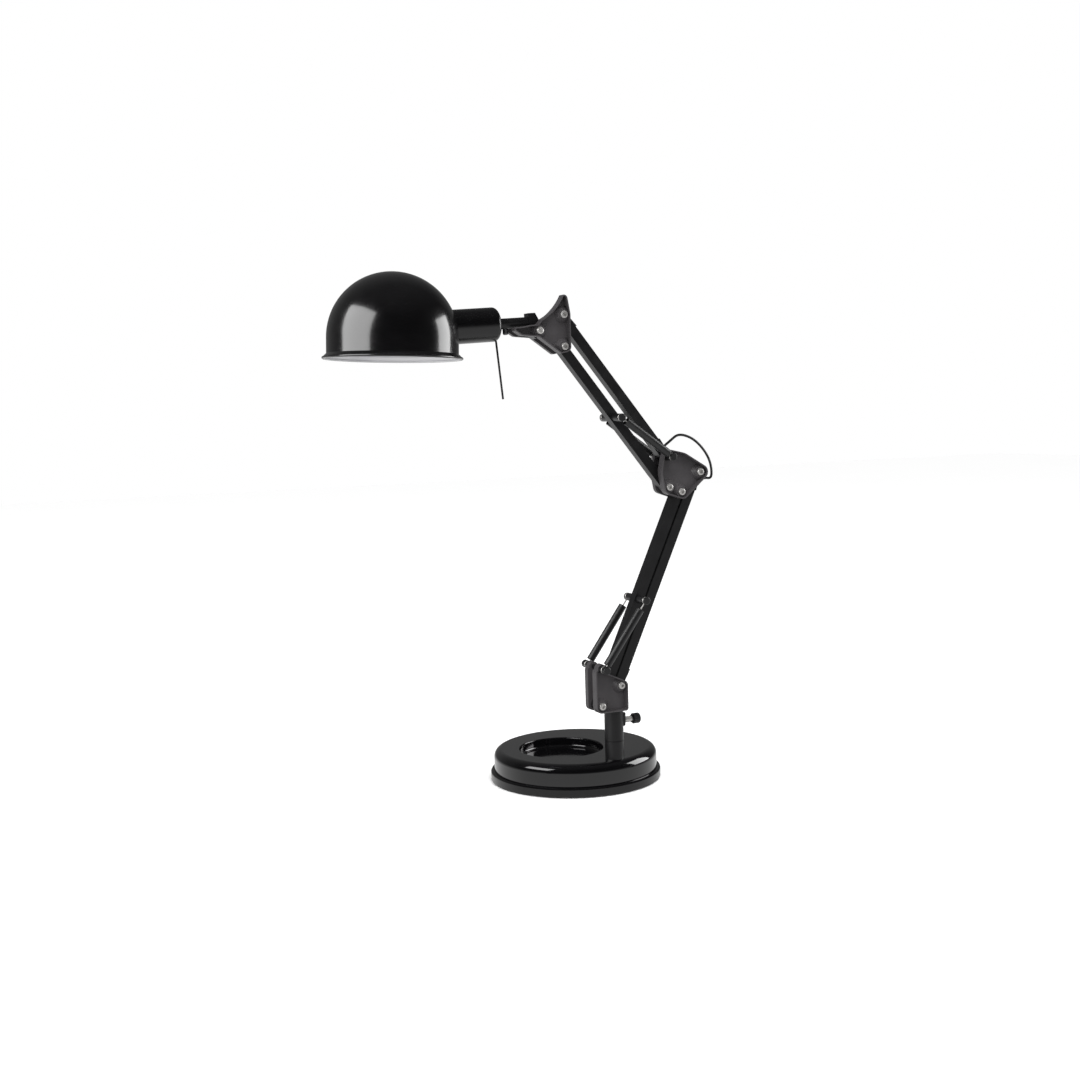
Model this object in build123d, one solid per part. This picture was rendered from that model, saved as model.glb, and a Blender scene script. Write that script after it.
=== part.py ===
from build123d import *
import math
import os

# Balanced-arm desk lamp, millimetres.
# +Z is up and the origin is the centre of the base, on the surface the lamp stands on.
# The two arms swing in one upright plane along X, and the shade is at the -X end.
# Everything above the base is drawn round the post: x from the post's axis, y from the arm plane.

# Base: a pressed cover seated in a moulded tray, with an iron weight between them
tray_radius = 90.0
tray_height = 9.4
tray_floor = 2.0
tray_edge_round = 2.0
pad_radius = 84.0
pad_thickness = 1.0
cover_radius = 86.3
cover_height = 32.5
cover_wall = 1.2
shoulder_radius = 8.4
seat_gap = 0.1
dish_radius = 44.4
dish_depth = 10.0
dish_x = -15.7
dish_y = 1.1
dish_lip_round = 1.6
dish_floor_round = 3.0
weight_height = 9.0
weight_margin = 1.2
base_screw_count = 3
base_screw_circle = 60.0
base_screw_radius = 2.0
base_screw_length = 7.0
base_screw_head_radius = 3.6
base_screw_head = 1.6
grommet_height = 18.2
grommet_radius = 4.2
grommet_bore = 3.2
grommet_flange = 1.8
grommet_flange_radius = 5.6
grommet_gap = 0.3
grommet_bearing = 100.0

# Post: two outer tubes on a turned core, with a thumb screw that holds the swivel
post_reach = 70.0
post_bearing = -80.0
post_radius = 9.7
post_top = 81.0
post_seam = 51.0
post_seam_groove = 0.5
core_radius = 7.1
core_neck_radius = 5.0
core_bore = 3.2
foot_nut_flats = 17.0
foot_nut_height = 4.5
spigot_radius = 6.0
spigot_foot = 48.0
spigot_wire_bore = 3.2
fit_gap = 0.05
swivel_gap = 0.1
lug_reach = 12.3
lug_toe_reach = 11.0
lug_width = 8.4
lug_top = 78.6
lug_toe = 65.5
screw_height = 71.0
screw_radius = 3.0
screw_tip_gap = 0.1
knob_start = 20.0
knob_collar_radius = 3.9
knob_collar = 1.5
knob_radius = 5.35
knob_length = 7.6
knob_round = 1.5
knob_flutes = 14
flute_radius = 0.7

# Arm bars: square tubes with rounded ends, bolted between the tray-shaped plates
bar_width = 10.0
bar_wall = 1.0
bolt_radius = 2.0
bolt_head_radius = 3.8
bolt_head = 2.6
bolt_head_round = 1.4
cap_rise = 1.0
cap_round = 2.0
bolt_socket_flats = 3.2
bolt_socket_depth = 1.8
nut_flats = 7.0
nut_height = 3.2
washer_radius = 4.1
front_foot_x = -18.0
front_foot_z = 89.5
link_step_x = 22.4
link_step_z = 19.6
lower_length = 233.5
lower_lean = 24.6
elbow_step_x = -14.3
elbow_step_z = 5.4
upper_length = 183.0
upper_lean = 38.3
upper_rise = 31.3
bush_length = 15.1
bush_start = 1.4
bush_proud = 1.5
bush_low = 0.3
bush_slot_start = 2.4
bush_slot_length = 6.6
bush_width = 9.0

# Tray-shaped pressed plates, a mirrored pair at the foot, the elbow and the head
plate_gap = 10.8
plate_thickness = 1.2
plate_depth = 14.0
far_plate_depth = 10.5
far_foot_depth = 12.0
seat_height = 10.5
seat_base_radius = 8.4
seat_top_radius = 5.6
seat_pocket_gap = 0.1
foot_left = -25.6
foot_right = 10.2
foot_bottom = 83.2
foot_left_corner = 6.0
foot_right_corner = 3.0
foot_bolt_corner = 5.8
foot_shoulder_drop = 3.5
ear_radius = 4.8
ear_blend = 3.0
foot_web = 1.2
elbow_bar_corner = 7.4
elbow_pin_corner = 7.0
crown_radius = 20.0
crown_reach = 18.5
crown_angle = 58.0
tip_x = -1.0
tip_z = 14.9
tip_round = 4.0
head_bolt_corner = 5.6
heel_x = -4.6
heel_z = -3.4
heel_round = 3.2
clamp_x = -26.4
clamp_z = 15.6
clamp_corner = 6.1
nose_x = -24.5
nose_z = 1.4
nose_round = 2.8
jaw_x = -18.6
jaw_z = -0.4
jaw_round = 4.4
hollow_radius = 57.5
hollow_x = -26.7
hollow_z = 60.7
dimple_radius = 1.6
dimple_height = 0.9
dimple_x = -9.3
dimple_z = 2.2

# Springs: a bright wire hook at each end of a sleeved coil, one each side of the arm
pin_radius = 2.5
pin_cap_radius = 4.0
pin_cap_round = 0.8
spring_offset = 19.0
groove_half = 1.0
anchor_x = -0.6
anchor_z = 38.9
anchor_reach = 26.0
lower_pin_share = 0.494
upper_pin_share = 0.506
mid_pin_reach = 22.0
elbow_pin_reach = 21.6
wire_radius = 0.7
eye_gap = 0.1
sleeve_radius = 4.1
sleeve_wall = 0.35
sleeve_start = 5.6
lower_sleeve_gap = 11.0
upper_sleeve_gap = 6.5
coil_gap = 0.15
coil_wall = 0.9
plug_start = 8.0
plug_length = 3.0
lower_coil_short = 24.0
upper_coil_short = 36.5
lower_shank_inside = 14.0
upper_shank_inside = 31.0

# Head: knuckle, neck tube, socket cover, lampholder, rod handle and shade
neck_angle = 3.2
neck_rise = 9.1
knuckle_width = 10.4
knuckle_round = 7.2
knuckle_start = 1.0
knuckle_end = 8.3
knuckle_half = 8.6
neck_radius = 5.2
neck_tail_radius = 4.0
neck_bore = 2.8
neck_end = 60.0
lock_screw_along = 31.6
lock_screw_radius = 2.7
lock_screw_proud = 5.6
collar_radius = 6.0
collar_length = 1.6
holder_cover_start = 40.0
holder_cover_radius = 16.5
holder_cover_wall = 1.2
holder_cover_round = 5.0
neck_nut_flats = 14.0
neck_nut_height = 4.0
holder_radius = 13.4
holder_base = 3.0
holder_mouth = 104.0
holder_bore = 7.6
holder_bore_depth = 26.0
shell_wall = 0.5
contact_radius = 2.4
contact_height = 3.0
holder_flange = 2.4
holder_flange_radius = 14.9
ring_radius = 18.5
ring_length = 6.0
shade_radius = 61.8
shade_wall = 0.8
shade_skirt = 20.0
brim_width = 4.2
dome_along = 86.2
shade_centre_drop = 17.5
shade_droop = 5.3
brim_height = 5.4
brim_bead = 1.3
dome_gap = 0.3
handle_radius = 1.0
handle_along = 42.3
handle_bend = 3.0
handle_length = 58.0
handle_inside = 7.0
handle_lean = 2.4

# Cord loop over the elbow, from one arm's link bar to the other's
cord_radius = 1.3
cord_entry = 8.0
cord_exit = 9.7
cord_depth = 1.8
cord_crest_x = 46.8
cord_crest_z = 5.8
cord_crest_slope = 50.1
cord_crest_run = 15.5
cord_rise = [(7.9, 15.5), (17.3, 22.4), (30.7, 19.3)]
cord_fall = [(56.4, -11.9), (56.7, -25.4), (47.3, -23.9)]
bend_share = 0.45

overrun = 5.0

# Places worked out from the sizes above, each an (x, z) pair in the arm plane
plate_inner = plate_gap / 2
plate_face = plate_inner + plate_thickness
cover_floor = pad_thickness + tray_floor
tray_top = pad_thickness + tray_height
post_x = post_reach * math.cos(math.radians(post_bearing))
post_y = post_reach * math.sin(math.radians(post_bearing))


def shifted(point, dx, dz):
    """The point moved by dx and dz."""
    return (point[0] + dx, point[1] + dz)


def between(start, end, share):
    """The point at a share of the way from start to end."""
    return (start[0] + (end[0] - start[0]) * share, start[1] + (end[1] - start[1]) * share)


def reach_between(start, end):
    """The distance between two points of the arm plane."""
    return math.hypot(end[0] - start[0], end[1] - start[1])


lower_run = lower_length * math.sin(math.radians(lower_lean))
lower_climb = lower_length * math.cos(math.radians(lower_lean))
upper_run = -upper_length * math.sin(math.radians(upper_lean))
upper_climb = upper_length * math.cos(math.radians(upper_lean))
front_foot = (front_foot_x, front_foot_z)
rear_foot = shifted(front_foot, link_step_x, link_step_z)
front_top = shifted(front_foot, lower_run, lower_climb)
rear_top = shifted(rear_foot, lower_run, lower_climb)
elbow_pivot = shifted(front_top, elbow_step_x, elbow_step_z)
elbow_pin = shifted(elbow_pivot, 0, upper_rise)
head_pivot = shifted(elbow_pivot, upper_run, upper_climb)
head_link = shifted(elbow_pin, upper_run, upper_climb)
clamp = shifted(head_pivot, clamp_x, clamp_z)
anchor = shifted(front_foot, anchor_x, anchor_z)
lower_pin = between(front_foot, front_top, lower_pin_share)
upper_pin = between(elbow_pivot, head_pivot, upper_pin_share)
lower_sleeve_end = reach_between(anchor, lower_pin) - lower_sleeve_gap
upper_sleeve_end = reach_between(elbow_pin, upper_pin) - upper_sleeve_gap
lower_coil_end = lower_sleeve_end - lower_coil_short
upper_coil_end = upper_sleeve_end - upper_coil_short
lower_shank = lower_sleeve_gap + lower_shank_inside
upper_shank = upper_sleeve_gap + upper_shank_inside
shade_rim_radius = shade_radius + brim_width
shade_centre_along = dome_along + shade_radius


def export(shape, name):
    """Writes one node of the base."""
    export_step(shape, f"parts/{name}.step")


def export_on_post(shape, name):
    """Writes one node that is drawn round the post's axis."""
    export(Pos(post_x, post_y, 0) * shape, name)


def group(shapes):
    """Separate solids kept together in one node."""
    return Compound(children=[solid for shape in shapes for solid in shape.solids()])


def ring(outer, inner, height, start=0):
    """An upright tube that starts at a height."""
    tube = Cylinder(outer, height, align=(Align.CENTER, Align.CENTER, Align.MIN))
    hole = Cylinder(inner, height + 2 * overrun, align=(Align.CENTER, Align.CENTER, Align.MIN))
    return Pos(0, 0, start) * (tube - Pos(0, 0, -overrun) * hole)


def rod(radius, height, start=0):
    """An upright round rod that starts at a height."""
    return Pos(0, 0, start) * Cylinder(radius, height, align=(Align.CENTER, Align.CENTER, Align.MIN))


def hexagon(flats, height, start=0):
    """An upright hexagonal prism."""
    outline = RegularPolygon(flats / 2, 6, major_radius=False)
    return Pos(0, 0, start) * extrude(outline, height)


def cross(point, start):
    """The place of something drawn upright that is laid along -Y at a point of the arm plane."""
    return Plane.XZ.offset(start).location * Pos(point[0], point[1], 0)


def cross_rod(point, radius, start, end):
    """A round rod across the arm, between two distances towards -Y."""
    return cross(point, start) * rod(radius, end - start)


def cross_tube(point, outer, inner, start, end):
    """A tube across the arm, between two distances towards -Y."""
    return cross(point, start) * ring(outer, inner, end - start)


def both_sides(shape):
    """The shape and its mirror image across the arm plane, as separate solids."""
    return group([shape, mirror(shape, about=Plane.XZ)])


def disc(point, radius):
    """A round corner of an outline in the arm plane."""
    return Pos(point[0], point[1]) * Circle(radius)


def hull(discs):
    """The outline stretched round the corner discs."""
    return make_hull([edge for corner in discs for edge in corner.edges()])


# Base
def cover_profile(radius, height, shoulder, floor):
    """Half of the cover's section: an upright wall, a round shoulder and a flat top."""
    half = math.sqrt(0.5)
    wall_top = height - shoulder
    flat = radius - shoulder
    edges = [
        Line((0, floor), (radius, floor)),
        Line((radius, floor), (radius, wall_top)),
        ThreePointArc(
            (radius, wall_top),
            (flat + shoulder * half, wall_top + shoulder * half),
            (flat, height),
        ),
        Line((flat, height), (0, height)),
        Line((0, height), (0, floor)),
    ]
    return Plane.XZ * make_face(Curve() + edges)


def dish_cup(radius, floor, lip_round, floor_round):
    """The space of the round dish, with a rolled lip and a rounded floor."""
    cup = Pos(dish_x, dish_y, 0) * rod(radius, cover_height - floor, floor)
    return fillet(cup.edges().sort_by(Axis.Z)[0], floor_round)


def base_cover():
    """The pressed cover, open below, with the dish sunk in its top."""
    outer = revolve(cover_profile(cover_radius, cover_height, shoulder_radius, cover_floor), Axis.Z)
    inner = revolve(
        cover_profile(
            cover_radius - cover_wall,
            cover_height - cover_wall,
            shoulder_radius - cover_wall,
            cover_floor - overrun,
        ),
        Axis.Z,
    )
    dish_floor = cover_height - dish_depth
    cup = dish_cup(dish_radius, dish_floor, dish_lip_round, dish_floor_round)
    cup_under = dish_cup(
        dish_radius + cover_wall, dish_floor - cover_wall, dish_lip_round, dish_floor_round + cover_wall
    )
    shell = outer - (inner - cup_under) - cup
    lip = [
        edge
        for edge in shell.edges().filter_by(GeomType.CIRCLE)
        if abs(edge.radius - dish_radius) < fit_gap and abs(edge.center().Z - cover_height) < fit_gap
    ]
    shell = fillet(lip, dish_lip_round - cover_wall / 2)
    shell -= Pos(post_x, post_y, 0) * rod(core_neck_radius + seat_gap, cover_height + overrun)
    shell -= grommet_place() * rod(grommet_radius + seat_gap, 2 * overrun, -overrun)
    return shell


def grommet_place():
    """The middle of the cord's way out through the cover's wall, with Z pointing out."""
    return Rot(0, 0, grommet_bearing) * Pos(cover_radius - cover_wall, 0, grommet_height) * Rot(0, 90, 0)


def cord_grommet():
    """The rubber bush that the mains lead leaves through."""
    inner_start = -grommet_flange - grommet_gap
    body = ring(grommet_radius, grommet_bore, cover_wall + 2 * grommet_flange + grommet_gap, inner_start)
    outer_lip = ring(grommet_flange_radius, grommet_bore, grommet_flange, cover_wall)
    inner_lip = ring(grommet_flange_radius, grommet_bore, grommet_flange, inner_start)
    return grommet_place() * (body + outer_lip + inner_lip)


def base_tray():
    """The moulded tray whose rim shows as a band round the foot of the cover."""
    tray = rod(tray_radius, tray_height, pad_thickness)
    tray = fillet(tray.edges().sort_by(Axis.Z)[-1], tray_edge_round)
    tray -= rod(cover_radius + seat_gap, tray_height, cover_floor)
    for place in base_screw_places():
        tray -= place * rod(base_screw_radius + seat_gap, tray_floor + 2 * overrun, -overrun)
        tray -= place * rod(base_screw_head_radius + seat_gap, base_screw_head, pad_thickness)
    return tray


def base_screw_places():
    """The places of the screws that hold the tray to the weight."""
    step = 360 / base_screw_count
    first = post_bearing + step / 2
    at_circle = Pos(base_screw_circle, 0, 0)
    return [Rot(0, 0, first + step * i) * at_circle for i in range(base_screw_count)]


def base_screws():
    """Countersunk tray screws, driven from below."""
    screw = rod(base_screw_head_radius, base_screw_head, pad_thickness)
    screw += rod(base_screw_radius, base_screw_length, pad_thickness)
    return group([place * screw for place in base_screw_places()])


def base_weight():
    """The iron disc that keeps the lamp upright."""
    radius = cover_radius - cover_wall - weight_margin
    weight = rod(radius, weight_height, cover_floor)
    at_post = Pos(post_x, post_y, 0)
    weight -= at_post * rod(core_neck_radius + seat_gap, weight_height + overrun, cover_floor)
    nut_pocket_radius = foot_nut_flats / math.sqrt(3) + seat_gap
    weight -= at_post * rod(nut_pocket_radius, foot_nut_height + seat_gap, cover_floor)
    for place in base_screw_places():
        depth = pad_thickness + base_screw_length - cover_floor + seat_gap
        weight -= place * rod(base_screw_radius, depth, cover_floor)
    return weight


def base_pad():
    """The felt pad under the tray."""
    return rod(pad_radius, pad_thickness)


# Post
def clamp_spacer():
    """The tube that holds the cover off the weight where the post stands."""
    start = cover_floor + weight_height
    return ring(core_radius, core_neck_radius + seat_gap, cover_height - cover_wall - start, start)


def foot_nut():
    """The nut that draws the post down on the cover and the weight."""
    nut = hexagon(foot_nut_flats, foot_nut_height, cover_floor)
    return nut - rod(core_neck_radius, foot_nut_height + overrun, cover_floor - overrun / 2)


def post_core():
    """The turned core: a neck through the base, and the bore that the swivel turns in."""
    core = rod(core_neck_radius, cover_height - cover_floor, cover_floor)
    core += rod(core_radius, post_top - cover_height, cover_height)
    core -= rod(core_bore, post_top, 0)
    core -= rod(spigot_radius + fit_gap, post_top, spigot_foot)
    return core - thumb_screw_way()


def thumb_screw_way():
    """The threaded way of the thumb screw, along +X."""
    return Pos(0, 0, screw_height) * Rot(0, 90, 0) * rod(screw_radius + fit_gap, lug_reach + overrun)


def post_lower_tube():
    """The lower outer tube, from the cover to the seam."""
    return ring(post_radius, core_radius + fit_gap, post_seam - cover_height, cover_height)


def post_upper_tube():
    """The upper outer tube, with the lug that carries the thumb screw."""
    start = post_seam + post_seam_groove
    outline = Polyline(
        (0, lug_top),
        (lug_reach, lug_top),
        (lug_reach, screw_height),
        (lug_toe_reach, lug_toe),
        (0, lug_toe),
        close=True,
    )
    lug = extrude(make_face(Plane.XZ * outline), lug_width / 2, both=True)
    lug = fillet(lug.edges().filter_by(Axis.Z).sort_by(Axis.X)[-2:], lug_width / 4)
    tube = rod(post_radius, post_top - start, start) + lug
    tube -= rod(core_radius + fit_gap, post_top + overrun)
    return tube - thumb_screw_way()


def thumb_screw():
    """The bright shank of the thumb screw."""
    start = spigot_radius + screw_tip_gap
    shank = rod(screw_radius, knob_start + knob_collar + knob_length / 2 - start, start)
    return Pos(0, 0, screw_height) * Rot(0, 90, 0) * shank


def thumb_knob():
    """The fluted knob on the thumb screw."""
    start = knob_start + knob_collar
    knob = rod(knob_radius, knob_length, start)
    knob = fillet(knob.edges().sort_by(Axis.Z)[-1], knob_round)
    for i in range(knob_flutes):
        flute = Pos(knob_radius + flute_radius / 3, 0, 0) * rod(flute_radius, knob_length + overrun, start)
        knob -= Rot(0, 0, 360 / knob_flutes * i) * flute
    knob += rod(knob_collar_radius, knob_collar, knob_start)
    shank_end = start + knob_length / 2
    knob -= rod(screw_radius, shank_end - knob_start + overrun, knob_start - overrun)
    return Pos(0, 0, screw_height) * Rot(0, 90, 0) * knob


# Bars, plates and bolts
def slot_outline(start, end, radius):
    """A straight outline with round ends about two points of the arm plane."""
    return hull([disc(start, radius), disc(end, radius)])


def along(start, end):
    """The place at start, in the arm plane, with Z towards end and X across the bar."""
    angle = math.degrees(math.atan2(end[0] - start[0], end[1] - start[1]))
    return Pos(start[0], 0, start[1]) * Rot(0, angle, 0)


def bar(start, end):
    """A square tube with rounded ends, from one pivot to the other."""
    radius = bar_width / 2
    solid = extrude(Plane.XZ * slot_outline(start, end, radius), radius, both=True)
    hollow_width = bar_width - 2 * bar_wall
    length = reach_between(start, end) + 4 * bar_width
    hollow = Box(hollow_width, hollow_width, length, align=(Align.CENTER, Align.CENTER, Align.MIN))
    return solid - along(start, end) * Pos(0, 0, -2 * bar_width) * hollow


def drilled(shape, point, radius):
    """The shape with a hole right across the arm at a pivot."""
    reach = plate_depth + overrun
    return shape - cross_rod(point, radius, -reach, reach)


def bush_slot_place(start, end):
    """The middle of the slot that the cord passes through near a link bar's pivot."""
    first = bolt_radius + bush_slot_start
    return along(start, end) * Pos(bar_width / 2, 0, first + bush_slot_length / 2)


def bush_slot(start, end):
    """The cord's slot in the outer face of a link bar."""
    width = bush_width - 2 * bar_wall
    return bush_slot_place(start, end) * Box(2 * bar_wall + seat_gap, width, bush_slot_length)


def cord_bush(start, end):
    """The wedge on a link bar's outer face, which rises away from the pivot and ends in a step."""
    first = bolt_radius + bush_start
    face = bar_width / 2
    outline = Polyline(
        (face, first),
        (face + bush_low, first),
        (face + bush_proud, first + bush_length),
        (face, first + bush_length),
        close=True,
    )
    wedge = along(start, end) * extrude(make_face(Plane.XZ * outline), bush_width / 2, both=True)
    width = bush_width - 2 * bar_wall
    return wedge - bush_slot_place(start, end) * Box(2 * bush_proud + overrun, width, bush_slot_length)


def tray_plate(outline, seats, holes, depth=plate_depth):
    """The near plate of a pair: a floor, a rim turned outward, and a raised seat round each bolt."""
    inner = Plane.XZ.offset(plate_inner)
    plate = extrude(inner * outline, plate_thickness)
    full = extrude(inner * outline, depth - plate_inner)
    inside = extrude(inner * offset(outline, -plate_thickness), depth - plate_inner)
    plate += full - inside
    rise = seat_height - plate_face
    for point in seats:
        seat = cross(point, plate_face) * Cone(
            seat_base_radius, seat_top_radius, rise, align=(Align.CENTER, Align.CENTER, Align.MIN)
        )
        plate += seat & full
    pocket_floor = seat_height - plate_thickness
    for point in seats:
        plate -= cross_rod(point, washer_radius + seat_pocket_gap, plate_inner - overrun, pocket_floor)
        plate = drilled(plate, point, bolt_radius + fit_gap)
    for point, radius in holes:
        plate = drilled(plate, point, radius)
    return plate


def bolt(point, start=seat_height, reach=seat_height):
    """A button-head bolt with its head on the near side."""
    end = -reach - nut_height - fit_gap
    head = cross(point, start) * fillet(
        rod(bolt_head_radius, bolt_head).edges().sort_by(Axis.Z)[-1], bolt_head_round
    )
    head -= cross(point, start + bolt_head - bolt_socket_depth) * hexagon(bolt_socket_flats, overrun)
    return head + cross_rod(point, bolt_radius, end, start)


def nut(point, reach=seat_height):
    """The nut on the far side of a bolt."""
    blank = cross(point, -reach - nut_height) * hexagon(nut_flats, nut_height)
    return blank - cross_rod(point, bolt_radius, -reach - nut_height - overrun, -reach + overrun)


def washers(point, half_width=bar_width / 2):
    """The two nylon washers between what turns on a bolt and the seats of its plates."""
    start = half_width + fit_gap
    end = seat_height - plate_thickness
    return both_sides(cross_tube(point, washer_radius, bolt_radius + fit_gap, start, end))


# Foot bracket
def foot_outline():
    """The foot plate's outline, with the ear of the spring pin at its top left."""
    rear = rear_foot
    left_corner = (foot_left + foot_left_corner, foot_bottom + foot_left_corner)
    right_corner = (foot_right - foot_right_corner, foot_bottom + foot_right_corner)
    shoulder = (foot_left + foot_right_corner, anchor[1] - foot_shoulder_drop)
    body = hull(
        [
            disc(left_corner, foot_left_corner),
            disc(right_corner, foot_right_corner),
            disc(rear, foot_bolt_corner),
            disc(shoulder, foot_right_corner),
        ]
    )
    outline = body + disc(anchor, ear_radius)
    notch = outline.vertices().sort_by(Axis.X).filter_by(
        lambda v: v.Y > anchor[1] - ear_radius and v.X > anchor[0]
    )
    return fillet(notch[-1], ear_blend)


def foot_plate(depth):
    """A foot plate with its rim turned out to a distance from the arm plane."""
    plate = tray_plate(foot_outline(), [front_foot, rear_foot], [(anchor, pin_radius + fit_gap)], depth)
    return plate - cross_rod(anchor, pin_cap_radius + seat_gap, plate_face, depth + overrun)


def swivel_spigot():
    """The floor between the foot plates with the spigot that turns in the post."""
    width = foot_right - foot_left - foot_left_corner - foot_right_corner
    middle = foot_left + foot_left_corner + width / 2
    floor = Pos(middle, 0, foot_bottom) * Box(
        width, plate_gap, foot_web, align=(Align.CENTER, Align.CENTER, Align.MIN)
    )
    collar_start = post_top + swivel_gap
    spigot = floor + rod(post_radius - fit_gap, foot_bottom - collar_start, collar_start)
    spigot += rod(spigot_radius, foot_bottom - spigot_foot - swivel_gap, spigot_foot + swivel_gap)
    return spigot - rod(spigot_wire_bore, post_top + overrun, spigot_foot - overrun)


# Springs and their pins
def grooved_end(point, start, reach):
    """A pin's near end: a collar, the hook's groove and a rounded cap."""
    collar = cross_tube(point, pin_cap_radius, pin_radius, start, spring_offset - groove_half)
    cap_start = spring_offset + groove_half
    cap = cross_rod(point, pin_cap_radius, cap_start, reach)
    cap = fillet(cap.edges().sort_by(Axis.Y)[0], pin_cap_round)
    return collar, cap


def anchor_pins():
    """The two spring pins riveted to the ears of the foot plates."""
    collar, cap = grooved_end(anchor, plate_face, anchor_reach)
    core = cross_rod(anchor, pin_radius, plate_inner, spring_offset + groove_half)
    return both_sides(collar + cap + core)


def through_pin(point, start, reach):
    """A spring pin right across the arm, with a cap at each end."""
    cap = grooved_end(point, start, reach)[1]
    shank = cross_rod(point, pin_radius, -spring_offset - groove_half, spring_offset + groove_half)
    return shank + cap + mirror(cap, about=Plane.XZ)


def spaced_pin(point, start, reach):
    """A through pin with the two sleeves that space the hooks off the arm."""
    outer = spring_offset - groove_half
    spacers = both_sides(cross_tube(point, pin_cap_radius, pin_radius + fit_gap, start, outer))
    return group([through_pin(point, start, reach), spacers])


def hook(start, end, shank):
    """A bright wire eye round a pin, with a straight shank towards the other pin."""
    eye_radius = pin_radius + eye_gap + wire_radius
    eye = Rot(90, 0, 0) * Torus(eye_radius, wire_radius)
    stem = rod(wire_radius, shank - eye_radius, eye_radius)
    near = Pos(0, -spring_offset, 0) * along(start, end) * (eye + stem)
    return both_sides(near)


def sleeve(start, end, reach):
    """The black tube over a spring."""
    tube = ring(sleeve_radius, sleeve_radius - sleeve_wall, reach - sleeve_start, sleeve_start)
    return both_sides(Pos(0, -spring_offset, 0) * along(start, end) * tube)


def coil(start, end, reach):
    """The closed coil of a spring inside its sleeve, drawn as a tube, with the plug on its hook."""
    outer = sleeve_radius - sleeve_wall - coil_gap
    tube = ring(outer, outer - coil_wall, reach - plug_start, plug_start)
    plug = ring(outer, wire_radius, plug_length, plug_start)
    return both_sides(Pos(0, -spring_offset, 0) * along(start, end) * (tube + plug))


# Elbow and head brackets
def elbow_outline():
    """The elbow plate's outline: a fan round the upper arm's pivot."""
    angle = math.radians(crown_angle)
    crown = shifted(elbow_pivot, crown_reach * math.cos(angle), crown_reach * math.sin(angle))
    return hull(
        [
            disc(elbow_pivot, elbow_bar_corner),
            disc(elbow_pin, elbow_pin_corner),
            disc(crown, crown_radius),
            disc(rear_top, elbow_bar_corner),
            disc(front_top, elbow_pin_corner),
        ]
    )


def elbow_plate(depth):
    """An elbow plate with its rim turned out to a distance from the arm plane."""
    seats = [elbow_pivot, front_top, rear_top]
    return tray_plate(elbow_outline(), seats, [(elbow_pin, pin_radius + fit_gap)], depth)


def head_outline(top):
    """The head plate's outline under its top corners: a heel below and a long nose beside the neck."""
    body = hull(
        top
        + [
            disc(head_link, head_bolt_corner),
            disc(head_pivot, head_bolt_corner),
            disc(shifted(head_pivot, heel_x, heel_z), heel_round),
            disc(clamp, clamp_corner),
        ]
    )
    nose = hull(
        [
            disc(clamp, clamp_corner),
            disc(shifted(clamp, jaw_x, jaw_z), jaw_round),
            disc(shifted(clamp, nose_x, nose_z), nose_round),
        ]
    )
    return body + nose - disc(shifted(clamp, hollow_x, hollow_z), hollow_radius)


def near_head_plate():
    """The near head plate, with a horn at its top and the dimple beside its lower bolt."""
    horn = disc(shifted(head_link, tip_x, tip_z), tip_round)
    plate = tray_plate(head_outline([horn]), [head_pivot, head_link, clamp], [])
    dimple = shifted(head_pivot, dimple_x, dimple_z)
    return plate + cross_rod(dimple, dimple_radius, plate_face, plate_face + dimple_height)


def far_head_plate():
    """The far head plate, which has no horn and a lower rim, drawn on the near side."""
    return tray_plate(head_outline([]), [head_pivot, head_link, clamp], [], far_plate_depth)


# Head, drawn along the neck: X from the clamp bolt towards the shade, Z up
def neck_place():
    """The clamp bolt's place, with X along the neck towards the shade and Z up."""
    return Pos(clamp[0], 0, clamp[1]) * Rot(0, -neck_angle, 0) * Rot(0, 0, 180)


def neck_axis(distance):
    """A place on the neck's axis with Z towards the shade."""
    return neck_place() * Pos(distance, 0, neck_rise) * Rot(0, 90, 0)


def knuckle():
    """The flat-sided knuckle between the head plates, which carries the neck."""
    block = Pos((knuckle_start + knuckle_end) / 2, neck_rise) * Rectangle(
        knuckle_end - knuckle_start, 2 * knuckle_half
    )
    outline = hull([disc((0, 0), knuckle_round), block])
    body = extrude(Plane.XZ * outline, knuckle_width / 2, both=True)
    body = neck_place() * body
    body -= neck_axis(knuckle_start - neck_tail_radius) * rod(neck_tail_radius + fit_gap, 2 * knuckle_end)
    return drilled(body, clamp, bolt_radius + fit_gap)


def neck_tube():
    """The threaded tube from the knuckle to the lampholder."""
    tube = rod(neck_radius, neck_end - knuckle_end - swivel_gap, knuckle_end + swivel_gap)
    tube += rod(neck_tail_radius, knuckle_end, knuckle_start)
    tube -= rod(neck_bore, neck_end + overrun)
    tube = neck_axis(0) * tube
    return tube - lock_screw_place() * rod(lock_screw_radius, neck_radius)


def lock_screw_place():
    """The lock screw's place under the neck, with Z pointing down from the neck's axis."""
    return neck_place() * Pos(lock_screw_along, 0, neck_rise) * Rot(180, 0, 0)


def lock_screw():
    """The small screw under the neck."""
    shank_end = neck_radius + lock_screw_proud
    screw = rod(lock_screw_radius, shank_end - neck_bore, neck_bore)
    screw = fillet(screw.edges().sort_by(Axis.Z)[-1], lock_screw_radius / 2)
    return lock_screw_place() * screw


def neck_collar():
    """The pale washer between the neck and the socket cover."""
    return neck_axis(0) * ring(
        collar_radius, neck_radius, collar_length, holder_cover_start - collar_length
    )


def dome_centre():
    """The centre of the shade's round part, with Z along the shade's own axis."""
    rim = Pos(shade_centre_along, 0, -shade_centre_drop)
    return neck_place() * rim * Rot(0, -shade_droop, 0) * Pos(0, 0, shade_skirt)


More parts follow.
